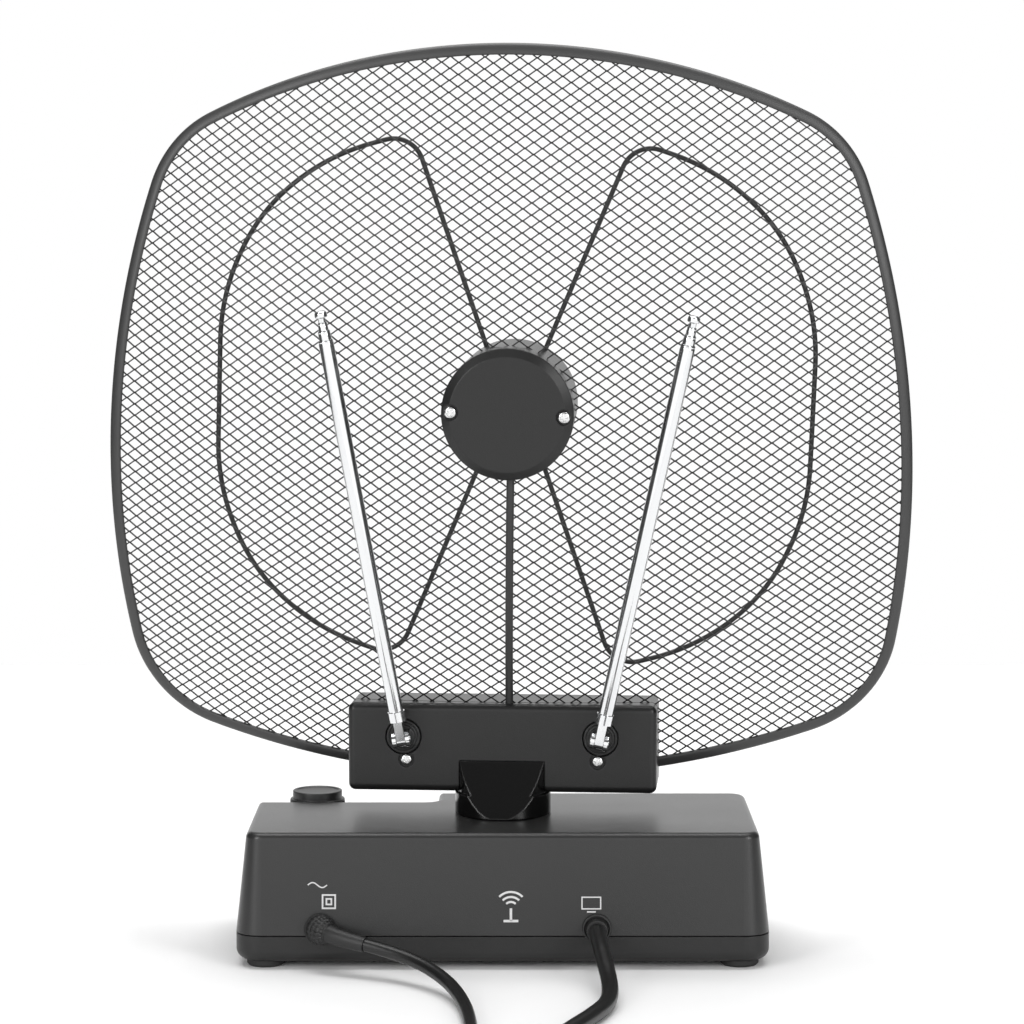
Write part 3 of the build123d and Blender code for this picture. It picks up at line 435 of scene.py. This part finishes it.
def plugShell():
    # rings along the plug: |y/w|^n + |z/h|^n = 1 with w and h growing from the lead end, closed at both ends
    s = np.concatenate([[0], np.linspace(0, 1, 60), [1]])
    t = np.arange(72) / 72 * tau
    widen = np.clip(s / 0.5, 0, 1)
    widen = widen * widen * (3 - 2 * widen)
    edge = 1 - 0.12 * np.clip((s - 0.95) / 0.05, 0, 1) ** 2
    grip = 1 - 0.03 * np.clip(np.cos((s - 0.2) * 60) * 2, 0, 1) * ((s > 0.3) & (s < 0.75))
    w = (4.6 + (plug["halfWidth"] - 4.6) * widen) * edge * grip
    h = (4.2 + (plug["halfHeight"] - 4.2) * widen) * edge
    w[[0, -1]], h[[0, -1]] = 0, 0
    power = 2 / 3.4
    across = np.sign(np.cos(t)) * np.abs(np.cos(t)) ** power
    up = np.sign(np.sin(t)) * np.abs(np.sin(t)) ** power
    x = plug["tail"][0] - s[:, None] * plug["length"] + 0 * across
    points = np.stack([x, plug["tail"][1] + w[:, None] * across, plug["tail"][2] + h[:, None] * up], -1)
    return gridFaces(points, wrapV=True)


plugBody = addPiece("plugBody", [plugShell()], "plug_plastic", "base", ["mains_plug_body"], 50)
pinProfile = rounded([(0, -1), (1.98, -1), (1.98, 18.2), (1.2, 19), (0, 19)], 0.7)
sleeveProfile = rounded([(0, -1), (2.02, -1), (2.02, 9.6), (1.9, 10), (0, 10)], 0.2)
pinFrames = [aimedFrame((-131, -236 + side * plug["pinGap"] / 2, 7), (-1, 0, 0)) for side in (-1, 1)]
plugPins = addPiece("plugPins", [lathe(pinProfile, f, None, 32) for f in pinFrames], "plug_nickel",
                    "base", ["mains_plug_pins"])
pinSleeves = addPiece("pinSleeves", [lathe(sleeveProfile, f, None, 32) for f in pinFrames],
                      "plug_plastic", "base")

coaxPlug = {"at": (104, -252, 5.5), "sleeve": 10.0, "barrel": 22.0, "ring": 11.0, "pin": 9.5, "knurls": 40}
sleeveEnd, barrelEnd = coaxPlug["sleeve"], coaxPlug["sleeve"] + coaxPlug["barrel"]


def knurl(t, z):
    # lengthways ridges over the middle of the barrel
    live = (z > sleeveEnd + 2) & (z < barrelEnd - 2)
    return np.where(live, 0.16 * (np.cos(t * coaxPlug["knurls"]) - 1), 0)


barrelProfile = rounded([(0, 0), (3.5, 0), (3.9, 2), (3.4, 2.8), (3.9, 3.6), (3.4, 4.8), (3.9, 5.8),
                         (3.5, 7), (4, sleeveEnd), (5.5, sleeveEnd + 0.2), (5.5, sleeveEnd + 1.9),
                         (5.5, sleeveEnd + 2.1), (5.5, barrelEnd - 2.1), (5.5, barrelEnd - 1.9),
                         (5.5, barrelEnd), (0, barrelEnd)], 0.35)
plugLine = aimedFrame(coaxPlug["at"], (1, 0, 0))
coaxBody = addPiece("coaxPlugBody", [lathe(barrelProfile, plugLine, knurl, 160)], "plug_plastic", "base",
                    ["coax_plug_body"])
ringEnd, pinEnd = barrelEnd + coaxPlug["ring"], barrelEnd + coaxPlug["pin"]
ringProfile = rounded([(4.1, barrelEnd - 1), (4.75, barrelEnd - 1), (4.75, ringEnd - 0.2), (4.45, ringEnd),
                       (4.1, ringEnd - 0.2), (4.1, barrelEnd - 1)], 0.2)
coaxRing = addPiece("coaxPlugRing", [lathe(ringProfile, plugLine, ring=True)], "plug_nickel", "base",
                    ["coax_plug_ring"])
tipProfile = rounded([(0, barrelEnd - 1), (1.16, barrelEnd - 1), (1.16, pinEnd - 1.1), (0.6, pinEnd),
                      (0, pinEnd)], 0.4)
coaxPin = addPiece("coaxPlugPin", [lathe(tipProfile, plugLine, None, 28)], "plug_nickel", "base",
                   ["coax_plug_pin"])
tuple(np.array(mainsRoute[0]) * 0.001)
tuple(np.array(coaxRoute[0]) * 0.001)
print("plugs made")

# reflector: expanded metal strands on the bowl, and the rolled rim round them
bowl = {"radius": 369.0, "sheet": 0.6, "rimWidth": 4.3, "rimThick": 2.6, "corner": 44.0,
        "discs": [(-214.2, -25.4, 365.8), (0, -116.9, 255.3), (214.2, -25.4, 365.8), (0, 265.7, 404.1)],
        "quadrants": [(1, 1), (-1, 1), (-1, -1), (1, -1)]}


def onBowl(x, z, b):
    # the bowl is part of a ball: y = R - sqrt((R + b)^2 - x^2 - z^2), in the dish's frame
    y = bowl["radius"] - np.sqrt((bowl["radius"] + b) ** 2 - x**2 - z**2)
    return np.stack([x, y, z], -1) @ dish[0].T + dish[1]


def dishOutline(inset, perArc=90):
    # four big arcs joined by corner arcs; each corner's centre is where two circles
    # of the big radius less the corner's radius cross
    discs = [(np.array((x, z)), radius - inset) for x, z, radius in bowl["discs"]]
    corner = bowl["corner"] - inset
    centres = []
    for number, (signX, signZ) in enumerate(bowl["quadrants"]):
        (a, ra), (b, rb) = discs[number], discs[(number + 1) % 4]
        gap = np.linalg.norm(b - a)
        along = ((ra - corner) ** 2 - (rb - corner) ** 2 + gap**2) / (2 * gap)
        off = sqrt((ra - corner) ** 2 - along**2)
        unit = (b - a) / gap
        pair = [a + unit * along + side * off * np.array((-unit[1], unit[0])) for side in (-1, 1)]
        centres.append(next(p for p in pair if p[0] * signX > 0 and p[1] * signZ > 0))
    points, normals = [], []
    for number in range(4):
        last, near = centres[number - 1], centres[number]
        here, radius = discs[number]
        after = discs[(number + 1) % 4][0]
        for centre, size, first, second, count in ((here, radius, last - here, near - here, perArc),
                                                   (near, corner, near - here, near - after, perArc // 3)):
            angles = np.unwrap([np.arctan2(first[1], first[0]), np.arctan2(second[1], second[0])])
            angle = np.linspace(angles[0], angles[1], count, endpoint=False)
            unit = np.stack([np.cos(angle), np.sin(angle)], 1)
            normals.append(unit)
            points.append(centre + size * unit)
    return np.concatenate(points), np.concatenate(normals)


rimLine, rimNormal = dishOutline(bowl["rimWidth"] / 2)
t = np.arange(20) / 20 * tau
across = np.sign(np.cos(t)) * np.abs(np.cos(t)) ** 0.72 * bowl["rimWidth"] / 2
deep = np.sign(np.sin(t)) * np.abs(np.sin(t)) ** 0.72 * bowl["rimThick"] / 2 + bowl["rimThick"] / 2 - 1
rimGrid = rimLine[:, None] + across[None, :, None] * rimNormal[:, None]
addPiece("reflectorRim", [gridFaces(onBowl(rimGrid[..., 0], rimGrid[..., 1], deep + 0 * rimGrid[..., 0]),
                                    wrapU=True, wrapV=True)], "rim_metal", "head",
         ["reflector_rim"], 180)

mesh = {"pitchX": 6.4, "pitchZ": 4.33, "flat": 0.26, "reach": 0.99, "strand": 0.5, "roll": 1.2,
        "inset": 2.6}
edgeLine = dishOutline(mesh["inset"])[0]
edgeAngle = np.arctan2(edgeLine[:, 1], edgeLine[:, 0])
order = np.argsort(edgeAngle)
edgeAngle, edgeReach = edgeAngle[order], np.hypot(*edgeLine[order].T)


def strandRows():
    # each strand row is a zigzag with short flats where it meets the rows above and below,
    # cut off at the outline
    turn = turned(-mesh["roll"], "z")[:2, :2]
    k = np.arange(-52, 53)
    for row in range(-68, 69):
        level = row * mesh["pitchZ"] / 2 + np.where((k + row) % 2 == 0, 1, -1) * mesh["reach"]
        path = np.stack([np.repeat(k * mesh["pitchX"] / 2, 2), np.repeat(level, 2)], 1)
        path[0::2, 0] -= mesh["flat"]
        path[1::2, 0] += mesh["flat"]
        path = path @ turn.T
        angle = np.arctan2(path[:, 1], path[:, 0])
        beyond = np.hypot(*path.T) - np.interp(angle, edgeAngle, edgeReach, period=tau)
        inside = np.flatnonzero(beyond < 0)
        if len(inside) == 0:
            continue
        for run in np.split(inside, np.flatnonzero(np.diff(inside) > 1) + 1):
            first, last = run[0], run[-1]
            share = beyond[first] / (beyond[first] - beyond[first - 1])
            start = path[first] + (path[first - 1] - path[first]) * share
            share = beyond[last] / (beyond[last] - beyond[last + 1])
            end = path[last] + (path[last + 1] - path[last]) * share
            yield np.concatenate([[start], path[run], [end]])


strands = [strap(path, mesh["strand"], 0.0, bowl["sheet"], onBowl) for path in strandRows()]
reflector = addPiece("reflectorStrands", strands, "mesh_metal", "head", ["reflector_mesh"], 30)
print("reflector strands:", len(strands), "rows,", len(reflector.data.polygons), "faces")

# screws: a pan head with a cross recess
screw = {"arm": 0.42, "reach": 1.35, "depth": 0.75, "edge": 0.1}


def panHead(at, aim, radius, height, spin):
    # dome height = h (1 - (r/R)^4)^0.5 above the seat, less a cross-shaped pocket with steep walls
    around, out = np.arange(120) / 120 * tau, np.linspace(0, 1, 46) ** 0.8
    r = radius * out[:, None] + 0 * around
    dome = height * (0.3 + 0.7 * np.sqrt(np.clip(1 - (r / radius) ** 3.4, 0, 1)))
    x, y = r * np.cos(around), r * np.sin(around)
    size = radius / 2.2
    arms = [np.clip((screw["arm"] * size - np.abs(a)) / screw["edge"] + 0.5, 0,
                    1) * np.clip((screw["reach"] * size - np.abs(b)) / screw["edge"] + 0.5, 0, 1) for a,
            b in ((x, y), (y, x))]
    z = dome - screw["depth"] * size * np.maximum(*arms)
    points = np.stack([x, y, z], -1)
    skirt = np.stack([x[-1], y[-1], 0 * x[-1]], -1)[None]
    foot = 0 * skirt
    turn, origin = aimedFrame(at, aim)
    turn = turn @ turned(spin, "z")
    return gridFaces(np.concatenate([points, skirt, foot]) @ turn.T + origin, wrapV=True)


def onFrame(local, point):
    return local[1] + local[0] @ np.array(point, float)


coverHeads = [panHead(onFrame(head, (side * 36, -5, 70.3)), head[0] @ (0, -1, 0), 2.2, 1.6, spin)
              for side, spin in ((-1, 22), (1, 64))]
addPiece("bracketScrews", coverHeads, "screw_steel", "head", ["bracket_screws"], 30)
hubHeads = [panHead(onFrame(hub, (side * 20.7, -8.6, 0)), hub[0] @ (0, -1, 0), 2.3, 1.6, spin)
            for side, spin in ((-1, 35), (1, 10))]
addPiece("hubScrews", hubHeads, "screw_steel", "head", ["hub_screws"], 30)

# telescopic rods
rodSizes = {"sections": [(2.8, 2.41, 11, 152.5), (2.32, 1.91, 14, 156), (1.82, 1.46, 17, 159),
                         (1.37, 0, 20, 161)], "tip": (2.3, 160.7, 163.2), "lean": 5.2,
            "pivot": (37, -13, 79), "spread": {"left": -9.8, "right": 12.4}}
swivel = {"seat": 7.0, "radius": 6.4, "proud": 0.4, "shaft": 2.0, "depth": 7.4, "ear": 3.0}
discProfile = rounded([(0, -swivel["depth"]), (swivel["shaft"], -swivel["depth"]),
                       (swivel["shaft"], -0.9), (swivel["radius"], -0.9), (swivel["radius"], 0.2),
                       (6.1, swivel["proud"]), (5.5, swivel["proud"]), (5.35, 0.05), (5.15, 0.05),
                       (5.0, swivel["proud"]), (4.5, swivel["proud"]), (4.35, 0.1), (4.2, 0.1),
                       (4.05, swivel["proud"]), (0, swivel["proud"])], 0.1)


def ear(pivot, low, high):
    # a plate across the fold pin: a half round towards the rear and straight sides down to the disc
    a = np.radians(np.linspace(-90, 90, 25))
    y = np.concatenate([-swivel["ear"] * np.cos(a), [swivel["seat"], swivel["seat"]]])
    z = np.concatenate([swivel["ear"] * np.sin(a), [swivel["ear"], -swivel["ear"]]])
    middle = np.stack([0 * y, 0 * y + 2, 0 * z], 1)
    ring = np.stack([0 * y, y, z], 1)
    rows = [flat + (x, 0, 0) for flat, x in ((middle, low), (ring, low), (ring, high), (middle, high))]
    return gridFaces(np.stack(rows) @ pivot[0].T + pivot[1], wrapV=True)


for side, name in ((-1, "left"), (1, "right")):
    x, y, z = rodSizes["pivot"]
    pivot = subFrame(head, (side * x, y, z), turned(rodSizes["spread"][name], "y"))
    rod = subFrame(pivot, (0, 0, 0), turned(rodSizes["lean"], "x"))
    face = pivot[0] @ turned(90, "x"), onFrame(pivot, (0, swivel["seat"], 0))
    addPiece(f"{name}SwivelDisc", [lathe(discProfile, face)], "satin_plastic", f"{name}_swivel",
             [f"{name}_rod_swivel"])
    addPiece(f"{name}SwivelEars", [ear(pivot, low, high) for low, high in ((-3.2, -1.8), (1.8, 3.2))],
             "rod_chrome", f"{name}_swivel")
    for number, (outer, bore, start, stop) in enumerate(rodSizes["sections"], 1):
        body = f"{name}_rod" if number == 1 else f"{name}_tube_{number}"
        if bore:
            profile = rounded([(bore, start), (outer, start), (outer, stop - 1.5),
                               (outer - 0.12, stop - 1.2), (outer - 0.12, stop - 0.9),
                               (outer, stop - 0.6), (outer - 0.3, stop), (bore, stop - 0.2),
                               (bore, start)], 0.25)
            surface = lathe(profile, rod, None, 56, ring=True)
        else:
            tipRadius, tipFrom, tipTo = rodSizes["tip"]
            profile = rounded([(0, start), (outer, start), (outer, tipFrom), (tipRadius, tipFrom),
                               (tipRadius, tipTo - 0.7), (tipRadius - 0.7, tipTo), (0, tipTo)], 0.45)
            surface = lathe(profile, rod, None, 56)
        addPiece(f"{name}RodTube{number}", [surface], "rod_chrome", body,
                 [f"{name}_rod_section_{number}"])
print("rods made")

# gain knob
knob = {"at": (-72, 34, 0), "flange": 10.6, "cap": 9.5, "low": 42.0, "step": 49.0, "top": 52.2, "ribs": 44}


def knobRibs(t, z):
    # upright ridges round the flange
    live = (z > knob["low"] + 0.9) & (z < knob["step"] - 0.8)
    return np.where(live, 0.22 * (np.cos(t * knob["ribs"]) - 1), 0)


low, step, top, flange, cap = (knob[key] for key in ("low", "step", "top", "flange", "cap"))
knobProfile = rounded([(0, low), (flange - 0.3, low), (flange, low + 0.8), (flange, low + 1),
                       (flange, step - 0.9), (flange, step - 0.7), (flange - 0.2, step),
                       (cap + 0.1, step), (cap, step + 0.4), (cap, top - 0.1), (cap - 1, top),
                       (cap - 1.5, top - 0.5), (4, top - 0.65), (0, top - 0.7)], 0.4)
knobFrame = world[0], np.array(knob["at"], float)
addPiece("gainKnob", [lathe(knobProfile, knobFrame, knobRibs, 176)], "knob_plastic", "gain_control",
         ["gain_knob"])

# marks on the rear panel: a wave, a fan of arcs and a screen, all plain pictograms
def onPanel(x, z, b):
    # the rear panel leans in by the shell's draft
    draft = radians(6.2)
    y = -46 + (z - 12.6) * np.tan(draft)
    return np.stack([x, y - b * cos(draft), z + b * sin(draft)], -1)


def arcLine(centre, radius, start, stop, steps=24):
    a = np.radians(np.linspace(start, stop, steps))
    return np.stack([centre[0] + radius * np.cos(a), centre[1] + radius * np.sin(a)], 1)


def frameLine(left, low, right, high):
    return [(left, low), (right, low), (right, high), (left, high)]


signs = {"low": -0.05, "high": 0.06, "mast": 3.0, "mastFoot": 18.0, "arcs": (2.4, 4.2, 6.0),
         "arcLine": 0.75, "mastLine": 0.9, "waveLine": 0.45, "squareLine": 0.6, "screenLine": 0.45,
         "screenFoot": 0.5}


def sign(path, width, closed=False):
    return strap(path, width, signs["low"], signs["high"], onPanel, closed)


mast, mastFoot = signs["mast"], signs["mastFoot"]
marks = [sign(arcLine((mast, mastFoot + 4.5), r, 45, 135), signs["arcLine"]) for r in signs["arcs"]]
marks += [sign([(mast, mastFoot), (mast, mastFoot + 4.6)], signs["mastLine"]),
          sign([(mast - 2.7, mastFoot), (mast + 2.7, mastFoot)], signs["mastLine"])]
s = np.linspace(0, 1, 40)
marks += [sign(np.stack([-71 + 7 * s, 31 + 0.9 * np.sin(s * tau)], 1), signs["waveLine"]),
          sign(frameLine(-65.6, 22.6, -61.0, 27.4), signs["squareLine"], True),
          sign(frameLine(-64.2, 24.0, -62.4, 26.0), signs["squareLine"], True),
          sign(frameLine(28.9, 22.4, 35.7, 26.6), signs["screenLine"], True),
          sign([(30.7, 21.3), (33.9, 21.3)], signs["screenFoot"])]
addPiece("rearMarks", marks, None, "base", (), 30)

# floor, sky and lamps
stage = {"floor": 0.9, "half": 0.75, "dark": 0.08, "front": 1.25, "back": 1.0, "above": 0.6}
half = stage["half"]
floorMesh = bpy.data.meshes.new("floor")
corners = [(-half, -half, 0), (half, -half, 0), (half, half, 0), (-half, half, 0)]
floorMesh.from_pydata(corners, [], [(0, 1, 2, 3)])
floor = bpy.data.objects.new("floor", floorMesh)
floorMesh.materials.append(newMaterial("floorPaper", grey(stage["floor"]), 0.9, 0.01, 0.02, 0.00002, 300))
bpy.context.scene.collection.objects.link(floor)

sky = bpy.data.worlds.new("studio")
bpy.context.scene.world = sky
sky.use_nodes = True
sky.node_tree.nodes.clear()
air = Graph(sky.node_tree)
aim = air.make("ShaderNodeTexCoord", output="Generated")
apart = air.make("ShaderNodeSeparateXYZ", {}, {0: aim})
acrossWorld, upWorld = (Wire(air, apart.socket.node.outputs[n]) for n in (1, 2))


def fade(value, start, stop, low, high):
    # a smooth step from low to high between start and stop
    return air.make("ShaderNodeMapRange", {"interpolation_type": "SMOOTHSTEP"},
                    {"Value": value, "From Min": start, "From Max": stop, "To Min": low, "To Max": high})


# a pale panel behind the camera up to a middling height, one beyond the antenna
# and one overhead, with dark grey between them
frontPanel = fade(acrossWorld, -0.66, -0.42, stage["front"], 0) * fade(upWorld, 0.42, 0.6, 1, 0)
backPanel = fade(acrossWorld, 0.72, 0.92, 0, stage["back"])
level = frontPanel + backPanel + fade(upWorld, 0.7, 0.95, 0, stage["above"]) + stage["dark"]
shown = air.make("ShaderNodeLightPath", output="Is Camera Ray")
light = air.make("ShaderNodeBackground", {}, {"Color": (1, 1, 1, 1), "Strength": level})
plain = air.make("ShaderNodeBackground", {}, {"Color": (1, 1, 1, 1), "Strength": 1.0})
mixed = air.make("ShaderNodeMixShader", {}, {0: shown, 1: light, 2: plain})
air.make("ShaderNodeOutputWorld", {}, {"Surface": mixed})


def addLamp(name, at, toward, size, power):
    # a rectangular lamp at one point, aimed at another
    lamp = bpy.data.lights.new(name, "AREA")
    lamp.shape, lamp.size, lamp.size_y, lamp.energy = "RECTANGLE", size[0], size[1], power
    holder = bpy.data.objects.new(name, lamp)
    bpy.context.scene.collection.objects.link(holder)
    turn, origin = aimedFrame(np.array(at, float), np.array(at, float) - np.array(toward, float))
    pose = np.eye(4)
    pose[:3, :3], pose[:3, 3] = turn, origin
    holder.matrix_world = Matrix(pose.tolist())


lamps = {"topLamp": ((0, 0.3, 1.6), (0, 0, 0.1), (1.6, 1.2), 26),
         "leftLamp": ((-1.2, -1.3, 0.8), (0, 0, 0.15), (0.5, 1.0), 10),
         "rightLamp": ((1.2, -1.3, 0.8), (0, 0, 0.15), (0.5, 1.0), 10)}
for name, (at, toward, size, power) in lamps.items():
    addLamp(name, at, toward, size, power)
bpy.context.scene.view_settings.view_transform = "Standard"
print("stage set")
